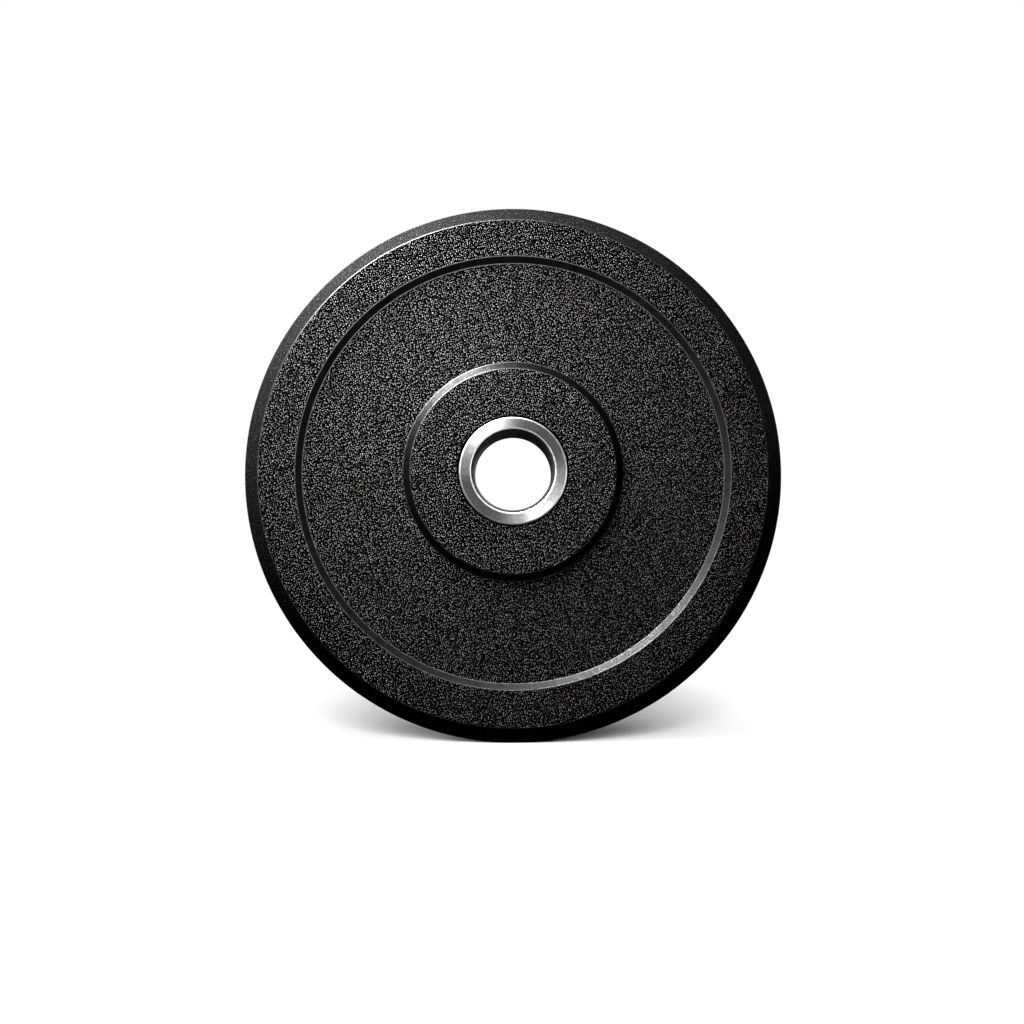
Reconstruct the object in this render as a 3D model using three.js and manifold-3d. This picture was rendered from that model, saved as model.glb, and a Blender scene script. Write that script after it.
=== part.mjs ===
import * as THREE from 'three';
import { mergeVertices } from 'three/addons/utils/BufferGeometryUtils.js';
import Module from 'manifold-3d';

const wasm = await Module();
wasm.setup();

// Bumper plate for a weightlifting bar: a disc of moulded crumb rubber on a turned steel insert.
// Millimetres. The plate's axis runs along Y, its front face looks towards -Y, and it stands on
// its tread with +Z up. The origin is the centre of the bore, halfway through the plate.
// Both sides of the plate are alike, so a place along the axis is given as a height above the
// middle plane and is used on the front and on the rear.

// Overall size
const plate_diameter = 350;
const plate_thickness = 38;

// Outer edge: a bevel between each face and the tread
const edge_bevel_width = 10;
const edge_bevel_depth = 9;
const face_edge_rounding = 1;
const tread_edge_rounding = 1.6;

// Faces: raised rim, recessed web and raised hub, joined by sloping walls
const rim_face_width = 24;
const rim_slope_width = 4.2;
const web_recess = 3.5;
const hub_slope_width = 4.6;
const hub_face_width = 31.8;
const step_edge_rounding = 0.9;
const step_root_rounding = 1.1;
const seat_lip_rounding = 0.4;

// Steel insert: two turned halves, pressed together at the middle plane
const bore_diameter = 50.4;
const bore_taper_width = 1.1;
const bore_taper_depth = 4.5;
const lead_in_width = 1.2;
const lead_in_depth = 1.8;
const flange_width = 9.8;
const flange_thickness = 5;
const flange_bevel = 0.8;
const flange_proud = 0.5;
const flange_overhang = 3.2;
const spigot_wall = 3;

// Anchor disc: clamped between the insert halves and keyed into the rubber
const anchor_width = 29.8;
const anchor_thickness = 3;
const key_hole_diameter = 14;
const key_hole_count = 8;

// Clearances
const moulding_gap = 0.3;
const spigot_gap = 0.3;
const clamp_gap = 0.3;
const cut_overrun = 2;

// Fineness of the round forms
const plate_segments = 96;
const insert_segments = 64;
const key_segments = 20;
const rounding_steps = 2;

// Radii
const bore_radius = bore_diameter / 2;
const taper_radius = bore_radius + bore_taper_width;
const mouth_radius = taper_radius + lead_in_width;
const flange_radius = bore_radius + flange_width;
const neck_radius = flange_radius - flange_overhang;
const spigot_radius = bore_radius + spigot_wall;
const hub_radius = flange_radius + hub_face_width;
const web_inner_radius = hub_radius + hub_slope_width;
const plate_radius = plate_diameter / 2;
const face_edge_radius = plate_radius - edge_bevel_width;
const rim_inner_radius = face_edge_radius - rim_face_width;
const web_outer_radius = rim_inner_radius - rim_slope_width;
const anchor_bore_radius = spigot_radius + spigot_gap;
const anchor_radius = neck_radius + anchor_width;
const key_hole_radius = key_hole_diameter / 2;
const key_circle_radius = neck_radius + anchor_width / 2;

// Heights above the middle plane
const face_height = plate_thickness / 2;
const tread_height = face_height - edge_bevel_depth;
const web_height = face_height - web_recess;
const insert_height = face_height + flange_proud;
const under_flange_height = insert_height - flange_thickness;
const taper_height = insert_height - lead_in_depth;
const anchor_half_thickness = anchor_thickness / 2;
const shoulder_height = anchor_half_thickness + clamp_gap;
const joint_height = clamp_gap / 2;

// The point at a distance from one corner along the side to the next corner.
function pointAlongSide(corner, target, distance) {
  const side = new THREE.Vector2(target.radius - corner.radius, target.height - corner.height);
  side.setLength(distance);
  return side.add(new THREE.Vector2(corner.radius, corner.height));
}

// A closed outline through corners that each have a radius and a height. A rounded corner becomes
// a curve that starts and ends at the corner's rounding length from it.
function outlineThrough(corners) {
  const path = new THREE.Path();
  corners.forEach((corner, index) => {
    const rounding = corner.rounding ?? 0;
    const start = pointAlongSide(corner, corners.at(index - 1), rounding);
    const end = pointAlongSide(corner, corners[(index + 1) % corners.length], rounding);
    if (index === 0) {
      path.moveTo(start.x, start.y);
    } else {
      path.lineTo(start.x, start.y);
    }
    if (rounding > 0) {
      path.quadraticCurveTo(corner.radius, corner.height, end.x, end.y);
    }
  });
  path.closePath();
  return path.getPoints(rounding_steps);
}

// The same corners on the other side of the middle plane, in the order that closes the outline.
function mirrored(corners) {
  return corners.map((corner) => ({ ...corner, height: -corner.height })).reverse();
}

// Turns a three.js geometry into a solid that can be cut and joined.
function solidFrom(geometry) {
  const bare = geometry.clone();
  bare.deleteAttribute('normal');
  bare.deleteAttribute('uv');
  const merged = mergeVertices(bare);
  const mesh = new wasm.Mesh({
    numProp: 3,
    vertProperties: new Float32Array(merged.attributes.position.array),
    triVerts: new Uint32Array(merged.index.array),
  });
  return new wasm.Manifold(mesh);
}

// Turns a solid back into a three.js geometry.
function geometryFrom(solid) {
  const mesh = solid.getMesh();
  const geometry = new THREE.BufferGeometry();
  geometry.setAttribute('position', new THREE.BufferAttribute(mesh.vertProperties, 3));
  geometry.setIndex(new THREE.BufferAttribute(mesh.triVerts, 1));
  geometry.computeVertexNormals();
  return geometry;
}

// A solid turned about the plate's axis. Half a segment of turn puts a flat of the facets at the
// bottom, where the plate stands.
function turned(corners, segments) {
  const half_segment = Math.PI / segments;
  return new THREE.LatheGeometry(outlineThrough(corners), segments, half_segment);
}

// A ring of round bars along the axis, one on each key hole's place.
function keyBars(radius, length) {
  const bars = [];
  for (let index = 0; index < key_hole_count; index += 1) {
    const angle = (2 * Math.PI * index) / key_hole_count;
    const bar = new THREE.CylinderGeometry(radius, radius, length, key_segments);
    bar.translate(key_circle_radius * Math.cos(angle), 0, key_circle_radius * Math.sin(angle));
    bars.push(solidFrom(bar));
  }
  return bars.reduce((joined, bar) => joined.add(bar));
}

// The moulded rubber: bevelled edge, rim, web and hub on both sides, a stepped seat for the insert
// in the middle, and a slot for the anchor disc that opens into the seat. The rubber runs through
// the disc's key holes as pegs.
function rubberBody() {
  const half = [
    { radius: plate_radius, height: tread_height, rounding: tread_edge_rounding },
    { radius: face_edge_radius, height: face_height, rounding: face_edge_rounding },
    { radius: rim_inner_radius, height: face_height, rounding: step_edge_rounding },
    { radius: web_outer_radius, height: web_height, rounding: step_root_rounding },
    { radius: web_inner_radius, height: web_height, rounding: step_root_rounding },
    { radius: hub_radius, height: face_height, rounding: step_edge_rounding },
    { radius: flange_radius + moulding_gap, height: face_height, rounding: seat_lip_rounding },
    { radius: flange_radius + moulding_gap, height: under_flange_height - moulding_gap },
    { radius: neck_radius + moulding_gap, height: under_flange_height - moulding_gap },
  ];
  const body = solidFrom(turned([...half, ...mirrored(half)], plate_segments));
  const slot_half = [
    { radius: anchor_radius + moulding_gap, height: shoulder_height },
    { radius: neck_radius - cut_overrun, height: shoulder_height },
  ];
  const slot = solidFrom(turned([...slot_half, ...mirrored(slot_half)], plate_segments));
  const pegs = keyBars(key_hole_radius - moulding_gap, plate_thickness);
  return geometryFrom(body.subtract(slot.subtract(pegs)));
}

// One turned half of the insert: a flanged face with a lead-in and a slight taper to the bore, a
// neck in the rubber, and a spigot that carries the anchor disc and meets the other half's spigot.
function insertHalf() {
  const outline = [
    { radius: bore_radius, height: joint_height },
    { radius: spigot_radius, height: joint_height },
    { radius: spigot_radius, height: shoulder_height },
    { radius: neck_radius, height: shoulder_height },
    { radius: neck_radius, height: under_flange_height },
    { radius: flange_radius, height: under_flange_height },
    { radius: flange_radius, height: insert_height - flange_bevel },
    { radius: flange_radius - flange_bevel, height: insert_height },
    { radius: mouth_radius, height: insert_height },
    { radius: taper_radius, height: taper_height },
    { radius: bore_radius, height: taper_height - bore_taper_depth },
  ];
  return turned(outline, insert_segments);
}

// The anchor disc: flat steel with a ring of key holes that the rubber fills.
function anchorDisc() {
  const half = [
    { radius: anchor_radius, height: anchor_half_thickness },
    { radius: anchor_bore_radius, height: anchor_half_thickness },
  ];
  const disc = solidFrom(turned([...half, ...mirrored(half)], insert_segments));
  const holes = keyBars(key_hole_radius, anchor_thickness + 2 * cut_overrun);
  return geometryFrom(disc.subtract(holes));
}

function namedMesh(name, geometry, material) {
  const mesh = new THREE.Mesh(geometry, material);
  mesh.name = name;
  return mesh;
}

const crumb_rubber = { color: 0x1c1c1e, roughness: 0.62, metalness: 0 };
const turned_steel = { color: 0xb9bbbd, roughness: 0.3, metalness: 1 };
const plain_steel = { color: 0x8a8c8f, roughness: 0.5, metalness: 1 };

const rubber_body = namedMesh(
  'rubber_body', rubberBody(), new THREE.MeshStandardMaterial(crumb_rubber));
const anchor_disc = namedMesh(
  'anchor_disc', anchorDisc(), new THREE.MeshStandardMaterial(plain_steel));

// The two halves are the same turned part. Its outline lies above the middle plane, so the rear
// half stays as it is made and the front half is turned over.
const rear_insert = namedMesh(
  'rear_insert', insertHalf(), new THREE.MeshStandardMaterial(turned_steel));
const front_insert = namedMesh(
  'front_insert', insertHalf(), new THREE.MeshStandardMaterial(turned_steel));
front_insert.rotation.x = Math.PI;

const bumper_plate = new THREE.Group();
bumper_plate.name = 'bumper_plate';
bumper_plate.add(rubber_body, anchor_disc, rear_insert, front_insert);

export default bumper_plate;
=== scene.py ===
import math
from dataclasses import dataclass, replace

import bpy
import numpy as np
from mathutils import Matrix, Vector, noise


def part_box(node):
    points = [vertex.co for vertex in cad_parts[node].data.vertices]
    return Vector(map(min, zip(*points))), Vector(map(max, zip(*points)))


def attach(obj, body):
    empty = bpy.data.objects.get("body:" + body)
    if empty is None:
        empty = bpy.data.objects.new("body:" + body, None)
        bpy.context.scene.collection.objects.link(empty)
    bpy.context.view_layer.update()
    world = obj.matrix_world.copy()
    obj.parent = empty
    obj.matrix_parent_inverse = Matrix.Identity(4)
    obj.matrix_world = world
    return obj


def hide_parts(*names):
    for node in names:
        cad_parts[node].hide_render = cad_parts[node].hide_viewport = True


# Bumper plate: moulded crumb rubber on a turned steel insert. Metres, with the plate's axis along
# Y, its front face towards -Y, and the floor below it along -Z. Both sides of the plate are alike,
# so a place along the axis is given as a height above the middle plane.

MM = 0.001

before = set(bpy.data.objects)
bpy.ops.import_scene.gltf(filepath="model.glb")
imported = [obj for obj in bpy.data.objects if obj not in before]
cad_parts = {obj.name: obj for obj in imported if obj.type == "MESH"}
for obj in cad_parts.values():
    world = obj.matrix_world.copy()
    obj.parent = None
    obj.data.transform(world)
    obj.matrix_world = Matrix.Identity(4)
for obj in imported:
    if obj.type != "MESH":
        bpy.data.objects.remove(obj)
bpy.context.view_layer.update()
rubber_low, rubber_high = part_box("rubber_body")
insert_low, insert_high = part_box("front_insert")

# Sizes from the frame
PLATE_RADIUS = rubber_high.x
FACE_HEIGHT = rubber_high.y
INSERT_HEIGHT = -insert_low.y
FLANGE_RADIUS = insert_high.x
FLOOR_Z = rubber_low.z

# Rubber: bevelled outer edge, raised rim, recessed web, raised hub and the insert's seat
BEVEL_WIDTH = 10 * MM
BEVEL_DEPTH = 9 * MM
RIM_WIDTH = 24 * MM
RIM_SLOPE_WIDTH = 4.2 * MM
WEB_RECESS = 3.5 * MM
HUB_SLOPE_WIDTH = 4.6 * MM
HUB_WIDTH = 31.8 * MM
FACE_EDGE_ROUNDING = 0.9 * MM
TREAD_EDGE_ROUNDING = 1.6 * MM
STEP_EDGE_ROUNDING = 0.9 * MM
STEP_ROOT_ROUNDING = 0.9 * MM
SEAT_LIP_ROUNDING = 0.9 * MM
SEAT_GAP = 0.3 * MM
SLOT_RADIUS = 61.9 * MM

# Insert: flange, neck and spigot, and a lead-in and a slight taper to the bore
BORE_RADIUS = 25.2 * MM
BORE_TAPER_WIDTH = 1.1 * MM
BORE_TAPER_DEPTH = 4.5 * MM
LEAD_IN_WIDTH = 1.2 * MM
LEAD_IN_DEPTH = 1.8 * MM
LEAD_IN_ROUNDING = 1.0 * MM
FLANGE_THICKNESS = 5 * MM
FLANGE_BEVEL = 0.8 * MM
FLANGE_ROUNDING = 0.3 * MM
FLANGE_OVERHANG = 3.2 * MM
SPIGOT_WALL = 3 * MM
JOINT_HALF_GAP = 0.15 * MM
SHOULDER_HEIGHT = 1.8 * MM
# How much of the lead-in is painted dark like the bore's wall, as the shade inside the bore
PAINTED_BORE_SHADE_SHARE = 0.72

# Fineness: segments round the axis, the spacing of points along a side, how far its first and last
# point lie from its ends, the shortest side that gets any, and the steps of a rounding
RUBBER_SEGMENTS = 720
RUBBER_SPACING = 4 * MM
INSERT_SEGMENTS = 360
INSERT_SPACING = 2 * MM
GUARD = 0.25 * MM
LEAST_GUARDED_SIDE = 0.75 * MM
ARC_STEPS = 5

# Unevenness of the moulding: a swell all over and a rag on the ragged edges, each a noise with a
# height and a size. The tread lies a little further in than the swell can reach out.
SWELL = 0.05 * MM
SWELL_SIZE = 30 * MM
RAG = 0.1 * MM
RAG_SIZE = 2.2 * MM
TREAD_INSET = 0.06 * MM

# The rubber's finishes, in the order of its materials
CRUMB = 0
BEVEL = 1
SLOPE = 2
EDGE = 3
TREAD = 4
SEAT = 5
STEP = 6

# The insert's finishes, in the order of its materials
TURNED = 0
POLISHED_HIGHLIGHT = 1
PAINTED_BORE_SHADE = 2

# The insert's halves: name, the node that it replaces, and its turn about X
INSERT_HALVES = [
    ("front_ring", "front_insert", math.pi),
    ("rear_ring", "rear_insert", 0),
]

# Camera: the photograph's frame and the plate's centre in it, in pixels, and where the camera is
PHOTO_PX = 1024
PHOTO_CENTRE_PX = 512
PLATE_CENTRE_PX = 513.06
FOCAL_PX = 1372
SENSOR_WIDTH_MM = 36
CAMERA_DISTANCE = 900 * MM
CAMERA_ABOVE_FLOOR = 85 * MM
CAMERA_PITCH_DEG = 4.1
LEVEL_DEG = 90


def add_object(name, data):
    made = bpy.data.objects.new(name, data)
    bpy.context.scene.collection.objects.link(made)
    return made


def add_camera():
    data = bpy.data.cameras.new("camera")
    data.sensor_width = SENSOR_WIDTH_MM
    data.lens = SENSOR_WIDTH_MM * FOCAL_PX / PHOTO_PX
    camera = add_object("camera", data)
    aside = (PHOTO_CENTRE_PX - PLATE_CENTRE_PX) * CAMERA_DISTANCE / FOCAL_PX
    camera.location = (aside, -CAMERA_DISTANCE, FLOOR_Z + CAMERA_ABOVE_FLOOR)
    camera.rotation_euler = (math.radians(LEVEL_DEG + CAMERA_PITCH_DEG), 0, 0)
    bpy.context.scene.camera = camera


@dataclass
class Corner:
    """One corner of a turned outline: its radius and height, the finish of the side that follows
    it, its rounding, the rounding's finish, and whether the rounding is ragged. A finish is the
    number of a material on the piece."""

    radius: float
    height: float
    finish: int
    rounding: float = 0.0
    arc_finish: int = 0
    ragged: bool = False

    def place(self):
        return np.array([self.radius, self.height])


def mirrored(corners):
    """The same corners on the other side of the middle plane, in the order that closes the
    outline. A side's finish moves to the corner that now comes before that side."""
    back = []
    for index in reversed(range(len(corners))):
        finish = corners[index - 1].finish
        back.append(replace(corners[index], height=-corners[index].height, finish=finish))
    return back


def arc_between(start, end, corner, rounding):
    """Points of the arc that touches both sides of a corner, from the first to the second."""
    towards_start = (start - corner) / np.linalg.norm(start - corner)
    towards_end = (end - corner) / np.linalg.norm(end - corner)
    half = 0.5 * math.acos(np.clip(towards_start @ towards_end, -1, 1))
    reach = rounding / math.tan(half)
    middle = towards_start + towards_end
    centre = corner + middle / np.linalg.norm(middle) * rounding / math.sin(half)
    first = corner + towards_start * reach - centre
    last = corner + towards_end * reach - centre
    sweep = math.atan2(first[0] * last[1] - first[1] * last[0], first @ last)
    points = []
    for step in range(ARC_STEPS + 1):
        angle = sweep * step / ARC_STEPS
        turn = np.array([[math.cos(angle), -math.sin(angle)], [math.sin(angle), math.cos(angle)]])
        points.append(centre + turn @ first)
    return points


def points_along(start, end, spacing):
    """Points between the ends of a side. The first and the last are guard points near the ends,
    which keep the side flat, and a short side gets none."""
    length = np.linalg.norm(end - start)
    if length < LEAST_GUARDED_SIDE:
        return []
    stretch = length - 2 * GUARD
    steps = max(1, round(stretch / spacing))
    distances = [GUARD + stretch * step / steps for step in range(steps + 1)]
    return [start + (end - start) * distance / length for distance in distances]


def fine_outline(corners, spacing):
    """Rows of (radius, height, finish, ragged) round a closed outline. The finish is that of the
    stretch up to the next row. Rounded corners become arcs, and long sides get points."""
    count = len(corners)
    arcs = []
    for index, corner in enumerate(corners):
        before = corners[index - 1].place()
        after = corners[(index + 1) % count].place()
        if corner.rounding:
            arcs.append(arc_between(before, after, corner.place(), corner.rounding))
        else:
            arcs.append([corner.place()])
    rows = []
    for index, corner in enumerate(corners):
        for point in arcs[index][:-1]:
            rows.append((*point, corner.arc_finish, corner.ragged))
        start = arcs[index][-1]
        end = arcs[(index + 1) % count][0]
        rows.append((*start, corner.finish, corner.ragged))
        for point in points_along(start, end, spacing):
            rows.append((*point, corner.finish, False))
    return np.array(rows)


def turned(pairs, segments):
    """Points or directions in the outline's plane, turned about the Y axis: one row of them for
    each segment."""
    angles = np.arange(segments)[:, None] * 2 * math.pi / segments
    heights = np.broadcast_to(pairs[:, 1], (segments, len(pairs)))
    return np.stack([np.sin(angles) * pairs[:, 0], heights, np.cos(angles) * pairs[:, 0]], axis=-1)


def outward_from(outline):
    """The direction square to the outline and out of the piece, at each of its points."""
    ahead = np.roll(outline, -1, axis=0) - np.roll(outline, 1, axis=0)
    ahead /= np.linalg.norm(ahead, axis=1, keepdims=True)
    return np.stack([ahead[:, 1], -ahead[:, 0]], axis=1)


def make_uneven(points, outward, ragged):
    """Moves each point in or out by the swell, and a ragged one by the rag too."""
    for segment, index in np.ndindex(points.shape[:2]):
        point = Vector(points[segment, index])
        move = SWELL * noise.noise(point / SWELL_SIZE)
        if ragged[index]:
            move += RAG * noise.noise(point / RAG_SIZE)
        points[segment, index] += outward[segment, index] * move


def turned_mesh(name, rows, segments, uneven=False):
    """Turns an outline's rows about the Y axis into a closed mesh."""
    outline, finishes, ragged = rows[:, :2], rows[:, 2], rows[:, 3]
    points = turned(outline, segments)
    if uneven:
        make_uneven(points, turned(outward_from(outline), segments), ragged)
    first = np.arange(segments)[:, None] * len(rows)
    second = np.roll(first, -1, axis=0)
    here = np.arange(len(rows))[None, :]
    there = np.roll(here, -1, axis=1)
    faces = np.stack([first + here, first + there, second + there, second + here], axis=-1)
    mesh = bpy.data.meshes.new(name)
    mesh.from_pydata(points.reshape(-1, 3).tolist(), [], faces.reshape(-1, 4).tolist())
    mesh.polygons.foreach_set("use_smooth", np.ones(len(mesh.polygons), bool))
    mesh.polygons.foreach_set("material_index", np.tile(finishes, segments).astype(np.int32))
    mesh.update()
    return add_object(name, mesh)


def rubber_corners():
    face_edge = PLATE_RADIUS - BEVEL_WIDTH
    rim_inner = face_edge - RIM_WIDTH
    web_outer = rim_inner - RIM_SLOPE_WIDTH
    hub = FLANGE_RADIUS + HUB_WIDTH
    web_inner = hub + HUB_SLOPE_WIDTH
    web_height = FACE_HEIGHT - WEB_RECESS
    seat = FLANGE_RADIUS + SEAT_GAP
    neck = FLANGE_RADIUS - FLANGE_OVERHANG + SEAT_GAP
    under_flange = INSERT_HEIGHT - FLANGE_THICKNESS - SEAT_GAP
    tread = PLATE_RADIUS - TREAD_INSET
    half = [
        Corner(tread, FACE_HEIGHT - BEVEL_DEPTH, BEVEL, TREAD_EDGE_ROUNDING, TREAD),
        Corner(face_edge, FACE_HEIGHT, CRUMB, FACE_EDGE_ROUNDING, EDGE, ragged=True),
        Corner(rim_inner, FACE_HEIGHT, SLOPE, STEP_EDGE_ROUNDING, STEP, ragged=True),
        Corner(web_outer, web_height, CRUMB, STEP_ROOT_ROUNDING, STEP, ragged=True),
        Corner(web_inner, web_height, SLOPE, STEP_ROOT_ROUNDING, STEP, ragged=True),
        Corner(hub, FACE_HEIGHT, CRUMB, STEP_EDGE_ROUNDING, STEP, ragged=True),
        # The seat, painted black as the shade in the gap round the insert
        Corner(seat, FACE_HEIGHT, SEAT, SEAT_LIP_ROUNDING, SEAT),
        Corner(seat, under_flange, SEAT),
        Corner(neck, under_flange, SEAT),
        Corner(neck, SHOULDER_HEIGHT, SEAT),
        Corner(SLOT_RADIUS, SHOULDER_HEIGHT, SEAT),
    ]
    whole = half + mirrored(half)
    # The last side runs across the tread and closes the outline
    whole[-1].finish = TREAD
    return whole


def insert_corners():
    taper = BORE_RADIUS + BORE_TAPER_WIDTH
    mouth = taper + LEAD_IN_WIDTH
    taper_height = INSERT_HEIGHT - LEAD_IN_DEPTH
    bore_shade_start = taper + LEAD_IN_WIDTH * PAINTED_BORE_SHADE_SHARE
    bore_shade_start_height = taper_height + LEAD_IN_DEPTH * PAINTED_BORE_SHADE_SHARE
    neck = FLANGE_RADIUS - FLANGE_OVERHANG
    spigot = BORE_RADIUS + SPIGOT_WALL
    under_flange = INSERT_HEIGHT - FLANGE_THICKNESS
    return [
        Corner(BORE_RADIUS, JOINT_HALF_GAP, TURNED),
        Corner(spigot, JOINT_HALF_GAP, TURNED),
        Corner(spigot, SHOULDER_HEIGHT, TURNED),
        Corner(neck, SHOULDER_HEIGHT, TURNED),
        Corner(neck, under_flange, TURNED),
        Corner(FLANGE_RADIUS, under_flange, TURNED),
        # The flange's bevel and the bore's mouth: polished, and painted pale as highlight lines
        Corner(FLANGE_RADIUS, INSERT_HEIGHT - FLANGE_BEVEL, POLISHED_HIGHLIGHT, FLANGE_ROUNDING, POLISHED_HIGHLIGHT),
        Corner(FLANGE_RADIUS - FLANGE_BEVEL, INSERT_HEIGHT, TURNED, FLANGE_ROUNDING, POLISHED_HIGHLIGHT),
        Corner(mouth, INSERT_HEIGHT, POLISHED_HIGHLIGHT, LEAD_IN_ROUNDING, POLISHED_HIGHLIGHT),
        # The lower part of the lead-in and the bore's wall are painted dark as the shade inside
        # the bore
        Corner(bore_shade_start, bore_shade_start_height, PAINTED_BORE_SHADE),
        Corner(taper, taper_height, PAINTED_BORE_SHADE),
        Corner(BORE_RADIUS, taper_height - BORE_TAPER_DEPTH, PAINTED_BORE_SHADE),
    ]


class Nodes:
    """The shader nodes of a material or a world, made from nothing."""

    def __init__(self, owner):
        owner.use_nodes = True
        self.tree = owner.node_tree
        self.tree.nodes.clear()

    def add(self, kind, inputs=None, **settings):
        """A new node. Each input is a plain value or another node's output, which is linked."""
        node = self.tree.nodes.new(kind)
        for name, value in settings.items():
            setattr(node, name, value)
        for name, value in (inputs or {}).items():
            if isinstance(value, bpy.types.NodeSocket):
                self.tree.links.new(value, node.inputs[name])
            else:
                node.inputs[name].default_value = value
        return node

    def place(self):
        """The place in the object's own coordinates."""
        return self.add("ShaderNodeTexCoord").outputs["Object"]

    def turned_place(self, angles):
        """The place, turned by angles about X, Y and Z."""
        turn = self.add("ShaderNodeMapping", {"Vector": self.place(), "Rotation": angles})
        return turn.outputs["Vector"]

    def split(self, vector):
        """The outputs X, Y and Z of a vector."""
        return self.add("ShaderNodeSeparateXYZ", {0: vector}).outputs

    def math(self, operation, *values):
        inputs = dict(enumerate(values))
        return self.add("ShaderNodeMath", inputs, operation=operation).outputs[0]

    def noise(self, vector, settings, output="Fac"):
        return self.add("ShaderNodeTexNoise", {"Vector": vector, **settings}).outputs[output]

    def remap(self, value, source, target=(0.0, 1.0), smooth=False):
        """Stretches a value's source range to the target range."""
        inputs = {"Value": value, "From Min": source[0], "From Max": source[1],
                  "To Min": target[0], "To Max": target[1]}
        kind = "SMOOTHSTEP" if smooth else "LINEAR"
        return self.add("ShaderNodeMapRange", inputs, interpolation_type=kind).outputs["Result"]

    def blend(self, share, first, second):
        """A number that goes from the first to the second as the share goes from 0 to 1."""
        inputs = {0: share, 2: first, 3: second}
        return self.add("ShaderNodeMix", inputs, data_type="FLOAT").outputs[0]

    def colour(self, share, first, second):
        """A colour that goes from the first to the second as the share goes from 0 to 1."""
        inputs = {0: share, 6: first, 7: second}
        return self.add("ShaderNodeMix", inputs, data_type="RGBA").outputs[2]

    def bump(self, height, depth):
        """The surface's direction with a bump of this depth."""
        inputs = {"Strength": 1.0, "Distance": depth, "Height": height}
        return self.add("ShaderNodeBump", inputs).outputs["Normal"]

    def surface(self, inputs):
        """Ends a material with one principled shader that has these inputs."""
        shader = self.add("ShaderNodeBsdfPrincipled", inputs)
        self.add("ShaderNodeOutputMaterial", {"Surface": shader.outputs[0]})


# All rubber: how strongly it bends light, and the colour of a pit in its grain, which is painted
# dark as the shade that falls in the pits
RUBBER_IOR = 1.5
PAINTED_PIT_SHADE = (0.0005, 0.0005, 0.0005, 1)

# Crumb grain: cells in the plane of the faces, turned off the axes and bent by a fine noise. A
# crumb is the middle of a cell, as far as its reach, and how pale it is painted is drawn by lot:
# partly the grain's own tone, partly painted glints.
# Scales are in cells to the metre, here and below.
FACE_TURN = (math.pi / 2, 0, 0.3)
BEND = {"Scale": 1200, "Detail": 0.0}
BEND_REACH = (0.6 * MM, 0.6 * MM, 0)
CRUMB_CELLS = {"Scale": 740, "Randomness": 0.8}
CRUMB_REACH = 0.26
CRUMB_CONTRAST = 0.9
# Crumb shades: partly the grain's own tone, partly painted glints
CRUMB_FINISH = {"shade": (0.95, 0.94, 0.96, 1), "specular": 0.0, "depth": 0.5 * MM,
                "pit_roughness": 1.0, "crumb_roughness": 0.4}
BEVEL_FINISH = {"shade": (0.1, 0.099, 0.101, 1), "specular": 0.07, "depth": 0.1 * MM,
                "pit_roughness": 0.8, "crumb_roughness": 0.26}


def crumb_rubber(name, shade, specular, depth, pit_roughness, crumb_roughness):
    """Black crumb rubber: raised crumbs, painted pale by lot as grain and as painted glints, over
    pits painted dark as painted shade.
    """
    material = bpy.data.materials.new(name)
    nodes = Nodes(material)
    in_face = nodes.turned_place(FACE_TURN)
    bend = nodes.noise(in_face, BEND, output="Color")
    bent = nodes.add("ShaderNodeVectorMath", {0: bend, 1: BEND_REACH, 2: in_face},
                     operation="MULTIPLY_ADD")
    cells = nodes.add("ShaderNodeTexVoronoi", {"Vector": bent.outputs[0], **CRUMB_CELLS},
                      voronoi_dimensions="2D", feature="F1")
    height = nodes.remap(cells.outputs["Distance"], (CRUMB_REACH, 0), smooth=True)
    lot = nodes.add("ShaderNodeSeparateColor", {0: cells.outputs["Color"]})
    # How pale a crumb is painted: its own tone and a painted glint
    pale = nodes.math("POWER", lot.outputs["Red"], CRUMB_CONTRAST)
    crumbs = nodes.math("MULTIPLY", height, pale)
    nodes.surface({"Base Color": nodes.colour(crumbs, PAINTED_PIT_SHADE, shade),
                   "Roughness": nodes.blend(crumbs, pit_roughness, crumb_roughness),
                   "IOR": RUBBER_IOR, "Specular IOR Level": specular,
                   "Normal": nodes.bump(crumbs, depth)})
    return material


# Skin grain: a fine noise, turned by odd angles so that no face lies along its own grid. The low
# end of its range is a pit, which is duller, and darker by painted shade.
GRAIN_TURN = (0.5, 0.7, 0.3)
SKIN_GRAIN = {"Scale": 1000, "Detail": 1.0}
SKIN_RANGE = (0.42, 0.66)
SKIN_DEPTH = 0.03 * MM
SKIN_PIT_DULLNESS = 0.2
# Slope and step colours are painted darker than black rubber, as painted shade on the steps
SLOPE_FINISH = {"shade": (0.0015, 0.0015, 0.0015, 1), "specular": 0.14, "roughness": 0.26}
EDGE_FINISH = {"shade": (0.01, 0.01, 0.01, 1), "specular": 0.9, "roughness": 0.32}
TREAD_FINISH = {"shade": (0.022, 0.022, 0.023, 1), "specular": 0.04, "roughness": 0.6}
# The seat is painted black without gloss, as painted shade in the gap round the insert
SEAT_FINISH = {"shade": (0.001, 0.001, 0.001, 1), "specular": 0.0, "roughness": 0.9}
STEP_FINISH = {"shade": (0.0015, 0.0015, 0.0015, 1), "specular": 1.0, "roughness": 0.2}


def skin_rubber(name, shade, specular, roughness):
    """Moulded rubber with a fine grain and no crumbs."""
    material = bpy.data.materials.new(name)
    nodes = Nodes(material)
    grain = nodes.noise(nodes.turned_place(GRAIN_TURN), SKIN_GRAIN)
    grain = nodes.remap(grain, SKIN_RANGE, smooth=True)
    nodes.surface({"Base Color": nodes.colour(grain, PAINTED_PIT_SHADE, shade),
                   "Roughness": nodes.blend(grain, roughness + SKIN_PIT_DULLNESS, roughness),
                   "IOR": RUBBER_IOR, "Specular IOR Level": specular,
                   "Normal": nodes.bump(grain, SKIN_DEPTH)})
    return material


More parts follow.
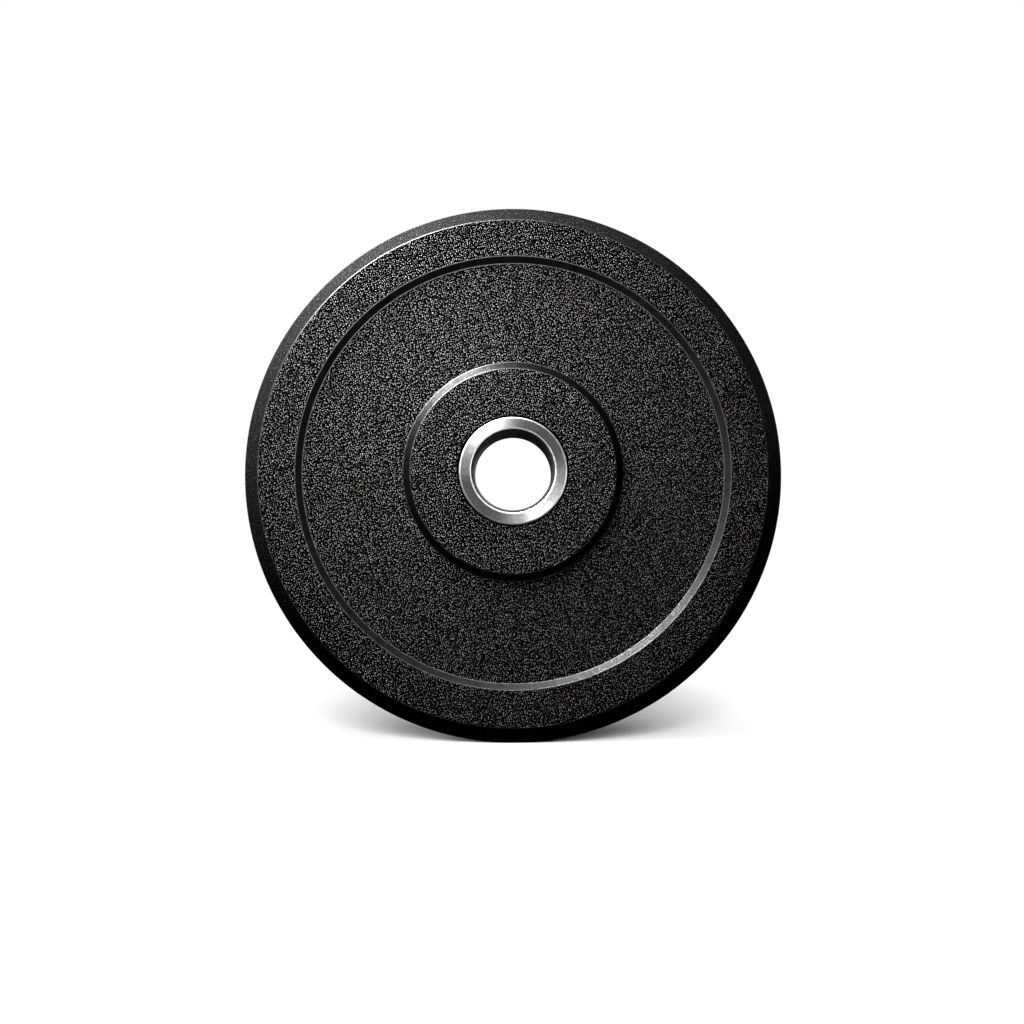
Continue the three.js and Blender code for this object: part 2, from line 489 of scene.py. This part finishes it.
# The range of a noise that a cloud or grain of the steel is stretched from
CLOUD_RANGE = (0.3, 0.7)

# Turned steel: tool marks, the cloud of its roughness, and a grain from dull to pale
TOOL_MARKS = {"Scale": 5000, "Detail": 3.0, "Roughness": 0.7}
TOOL_MARK_DEPTH = 0.01 * MM
TURNED_CLOUD = {"Scale": 120, "Detail": 2.0}
TURNED_ROUGHNESS = (0.34, 0.42)
TURNED_GRAIN = {"Scale": 700, "Detail": 2.0, "Roughness": 0.7}
TURNED_DULL = (0.48, 0.48, 0.49, 1)
TURNED_PALE = (0.76, 0.76, 0.77, 1)
TURNED_STRETCH = 0.8
QUARTER_TURN = 0.25


def turned_steel():
    """Fine turned steel: tool marks round the axis, which stretch the highlights across them."""
    material = bpy.data.materials.new("turned_steel")
    nodes = Nodes(material)
    place = nodes.place()
    parts = nodes.split(place)
    across = nodes.math("POWER", parts["X"], 2)
    upward = nodes.math("POWER", parts["Z"], 2)
    radius = nodes.math("SQRT", nodes.math("ADD", across, upward))
    run = nodes.math("ADD", radius, nodes.math("ABSOLUTE", parts["Y"]))
    marks = nodes.add("ShaderNodeTexNoise", {"W": run, **TOOL_MARKS}, noise_dimensions="1D")
    roughness = nodes.remap(nodes.noise(place, TURNED_CLOUD), CLOUD_RANGE, TURNED_ROUGHNESS)
    grain = nodes.remap(nodes.noise(place, TURNED_GRAIN), CLOUD_RANGE)
    tangent = nodes.add("ShaderNodeTangent", direction_type="RADIAL", axis="Y")
    nodes.surface({"Base Color": nodes.colour(grain, TURNED_DULL, TURNED_PALE), "Metallic": 1.0,
                   "Roughness": roughness, "Anisotropic": TURNED_STRETCH,
                   "Anisotropic Rotation": QUARTER_TURN, "Tangent": tangent.outputs["Tangent"],
                   "Normal": nodes.bump(marks.outputs["Fac"], TOOL_MARK_DEPTH)})
    return material


# Polished steel, painted pale as a highlight line along its edges
POLISHED_HIGHLIGHT_CLOUD = {"Scale": 300, "Detail": 2.0}
POLISHED_HIGHLIGHT_SHADE = (0.9, 0.9, 0.9, 1)
POLISHED_HIGHLIGHT_ROUGHNESS = (0.42, 0.55)


def polished_highlight_steel():
    """The bevel of the insert's flange and the bore's mouth: polished, and painted paler than the
    turned face as a painted highlight along these edges.
    """
    material = bpy.data.materials.new("polished_highlight_steel")
    nodes = Nodes(material)
    cloud = nodes.noise(nodes.place(), POLISHED_HIGHLIGHT_CLOUD)
    nodes.surface({"Base Color": POLISHED_HIGHLIGHT_SHADE, "Metallic": 1.0,
                   "Roughness": nodes.remap(cloud, CLOUD_RANGE, POLISHED_HIGHLIGHT_ROUGHNESS)})
    return material


# Steel painted dark as the shade inside the bore, with paler streaks
BORE_SHADE_STREAKS = {"Scale": 200, "Detail": 3.0, "Distortion": 0.5}
BORE_SHADE_DARK = (0.006, 0.006, 0.006, 1)
BORE_SHADE_PALE = (0.03, 0.03, 0.031, 1)
BORE_SHADE_ROUGHNESS = (0.85, 0.7)
BORE_SHADE_SPECULAR = 0.05
BORE_SHADE_IOR = 1.5


def bore_shade_steel():
    """The bore's wall and the lower part of its lead-in: painted dark as the shade inside the
    bore, with paler streaks.
    """
    material = bpy.data.materials.new("bore_shade_steel")
    nodes = Nodes(material)
    streaks = nodes.noise(nodes.place(), BORE_SHADE_STREAKS)
    nodes.surface({"Base Color": nodes.colour(streaks, BORE_SHADE_DARK, BORE_SHADE_PALE),
                   "Roughness": nodes.remap(streaks, CLOUD_RANGE, BORE_SHADE_ROUGHNESS),
                   "IOR": BORE_SHADE_IOR, "Specular IOR Level": BORE_SHADE_SPECULAR})
    return material


# Plain steel
PLAIN_CLOUD = {"Scale": 90, "Detail": 4.0}
PLAIN_DULL = (0.3, 0.3, 0.31, 1)
PLAIN_PALE = (0.46, 0.46, 0.47, 1)
PLAIN_ROUGHNESS = (0.4, 0.6)


def plain_steel():
    """The anchor disc's cut steel, which lies out of sight in the rubber."""
    material = bpy.data.materials.new("plain_steel")
    nodes = Nodes(material)
    cloud = nodes.noise(nodes.place(), PLAIN_CLOUD)
    nodes.surface({"Base Color": nodes.colour(cloud, PLAIN_DULL, PLAIN_PALE), "Metallic": 1.0,
                   "Roughness": nodes.remap(cloud, CLOUD_RANGE, PLAIN_ROUGHNESS)})
    return material


def add_rubber():
    rows = fine_outline(rubber_corners(), RUBBER_SPACING)
    piece = turned_mesh("moulded_rubber", rows, RUBBER_SEGMENTS, uneven=True)
    for material in (crumb_rubber("crumb_rubber", **CRUMB_FINISH),
                     crumb_rubber("bevel_rubber", **BEVEL_FINISH),
                     skin_rubber("slope_rubber", **SLOPE_FINISH),
                     skin_rubber("edge_rubber", **EDGE_FINISH),
                     skin_rubber("tread_rubber", **TREAD_FINISH),
                     skin_rubber("seat_rubber", **SEAT_FINISH),
                     skin_rubber("step_rubber", **STEP_FINISH)):
        piece.data.materials.append(material)
    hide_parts("rubber_body")
    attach(piece, "root")
    return piece


def add_inserts():
    """The insert's two halves. They are the same turned part, and the front one is turned over."""
    finishes = [turned_steel(), polished_highlight_steel(), bore_shade_steel()]
    rows = fine_outline(insert_corners(), INSERT_SPACING)
    rings = []
    for name, node, turn in INSERT_HALVES:
        piece = turned_mesh(name, rows, INSERT_SEGMENTS)
        piece.data.transform(Matrix.Rotation(turn, 4, "X"))
        for material in finishes:
            piece.data.materials.append(material)
        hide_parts(node)
        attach(piece, "root")
        rings.append(piece)
    return rings


def finish_anchor():
    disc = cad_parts["anchor_disc"]
    disc.data.materials.clear()
    disc.data.materials.append(plain_steel())


# Floor: its size, its shade as the camera sees it, the shade that throws light back, and how
# bright it is in the object's reflections
WHITE = (1, 1, 1, 1)
FLOOR_SIZE = 8.0
FLOOR_SHADE = (0.9, 0.9, 0.9, 1)
FLOOR_BOUNCE_SHADE = (0.03, 0.03, 0.03, 1)
FLOOR_IN_REFLECTIONS = 0.04


def add_floor():
    """A pale floor. The camera sees white paper under the floor's own lamps, with the plate's
    shadow. The object's reflections see a plain dim floor, and it throws little light back."""
    half = FLOOR_SIZE / 2
    corners = [(-half, -half, FLOOR_Z), (half, -half, FLOOR_Z), (half, half, FLOOR_Z),
               (-half, half, FLOOR_Z)]
    mesh = bpy.data.meshes.new("floor")
    mesh.from_pydata(corners, [], [(0, 1, 2, 3)])
    floor = add_object("floor", mesh)
    material = bpy.data.materials.new("floor_paper")
    nodes = Nodes(material)
    path = nodes.add("ShaderNodeLightPath").outputs
    paper = nodes.add("ShaderNodeBsdfDiffuse", {"Color": FLOOR_SHADE})
    dim = nodes.add("ShaderNodeBsdfDiffuse", {"Color": FLOOR_BOUNCE_SHADE})
    glow = nodes.add("ShaderNodeEmission", {"Color": WHITE, "Strength": FLOOR_IN_REFLECTIONS})
    unseen = nodes.add("ShaderNodeMixShader",
                       {0: path["Is Glossy Ray"], 1: dim.outputs[0], 2: glow.outputs[0]})
    seen = nodes.add("ShaderNodeMixShader",
                     {0: path["Is Camera Ray"], 1: unseen.outputs[0], 2: paper.outputs[0]})
    nodes.add("ShaderNodeOutputMaterial", {"Surface": seen.outputs[0]})
    mesh.materials.append(material)
    return floor


# World: its strength on matt surfaces, in reflections in front of the object and behind it, how
# far backwards a reflection looks between the two, and its strength for the camera
WORLD_AMBIENT = 0.03
WORLD_FRONT = 0.01
WORLD_BEHIND = 0.6
WORLD_FADE = (0.0, 0.6)
WORLD_SEEN = 1.0


def add_world():
    """White for the camera. In reflections it is pale behind the object and fades to dark on the
    camera's side of the room."""
    world = bpy.data.worlds.new("studio")
    bpy.context.scene.world = world
    nodes = Nodes(world)
    path = nodes.add("ShaderNodeLightPath").outputs
    direction = nodes.add("ShaderNodeTexCoord").outputs["Generated"]
    backwards = nodes.split(direction)["Y"]
    reflected = nodes.remap(backwards, WORLD_FADE, (WORLD_FRONT, WORLD_BEHIND), smooth=True)
    unseen = nodes.blend(path["Is Glossy Ray"], WORLD_AMBIENT, reflected)
    strength = nodes.blend(path["Is Camera Ray"], unseen, WORLD_SEEN)
    shader = nodes.add("ShaderNodeBackground", {"Color": WHITE, "Strength": strength})
    nodes.add("ShaderNodeOutputWorld", {"Surface": shader.outputs[0]})


# Lamps, all aimed at the plate's centre: name, place, width, power and what it lights
LAMPS = [
    ("key", (-0.04, -0.12, 0.069), 0.16, 0.15, "rubber"),
    ("steel_key", (-0.16, -0.48, 0.276), 0.2, 0.5, "steel"),
    ("steel_side", (0.4, -0.25, -0.03), 0.25, 0.5, "steel"),
    ("steel_low", (0.09, -0.16, -0.14), 0.06, 0.06, "steel"),
    ("steel_fill", (0.0, -1.0, 0.09), 0.8, 0.08, "steel"),
    ("graze", (-0.2, -0.12, 0.3464), 0.28, 4.4, "all"),
    ("far_graze", (-0.3, -0.1, 0.52), 0.3, 4.4, "all"),
    ("rear_key", (0.35, 0.6, 0.45), 0.5, 6.0, "all"),
    ("rear_side", (0.7, 0.6, 0.3), 0.4, 3.5, "all"),
]
LAMP_TARGET = Vector((0, 0, 0))
LAMP_LEVEL = 1.9

# The floor's lamps: name, strength, width in degrees, tilt from above towards the front, and turn
# about the vertical
FLOOR_LAMPS = [
    ("floor_main", 7.84, 20, 75, 0),
    ("floor_left", 1.62, 20, 70, -10),
    ("floor_top", 1.55, 60, 40, 0),
    ("floor_side", 2.39, 40, 80, -60),
]


def group_of(name, objects):
    group = bpy.data.collections.new(name)
    for item in objects:
        group.objects.link(item)
    return group


def add_lamp(name, place, width, power, receivers):
    data = bpy.data.lights.new(name, "AREA")
    data.shape = "DISK"
    data.size = width
    data.energy = power
    lamp = add_object(name, data)
    lamp.visible_camera = False
    lamp.location = place
    lamp.rotation_euler = (LAMP_TARGET - Vector(place)).to_track_quat("-Z", "Y").to_euler()
    lamp.light_linking.receiver_collection = receivers


def add_sun(name, strength, width, tilt, turn, receivers):
    data = bpy.data.lights.new(name, "SUN")
    data.energy = strength
    data.angle = math.radians(width)
    sun = add_object(name, data)
    sun.rotation_euler = (math.radians(tilt), 0, math.radians(turn))
    sun.light_linking.receiver_collection = receivers


def add_lights(rubber, rings, floor):
    """Lamps for the rubber and the steel, which leave the floor alone, and lamps for the floor."""
    receivers = {"all": group_of("lit_plate", [rubber, *rings]),
                 "rubber": group_of("lit_rubber", [rubber]),
                 "steel": group_of("lit_steel", rings)}
    on_floor = group_of("lit_floor", [floor])
    for name, place, width, power, lit in LAMPS:
        add_lamp(name, place, width, power * LAMP_LEVEL, receivers[lit])
    for name, strength, width, tilt, turn in FLOOR_LAMPS:
        add_sun(name, strength, width, tilt, turn, on_floor)


add_camera()
rubber = add_rubber()
rings = add_inserts()
finish_anchor()
stage_floor = add_floor()
add_world()
add_lights(rubber, rings, stage_floor)
bpy.context.scene.view_settings.view_transform = "Standard"
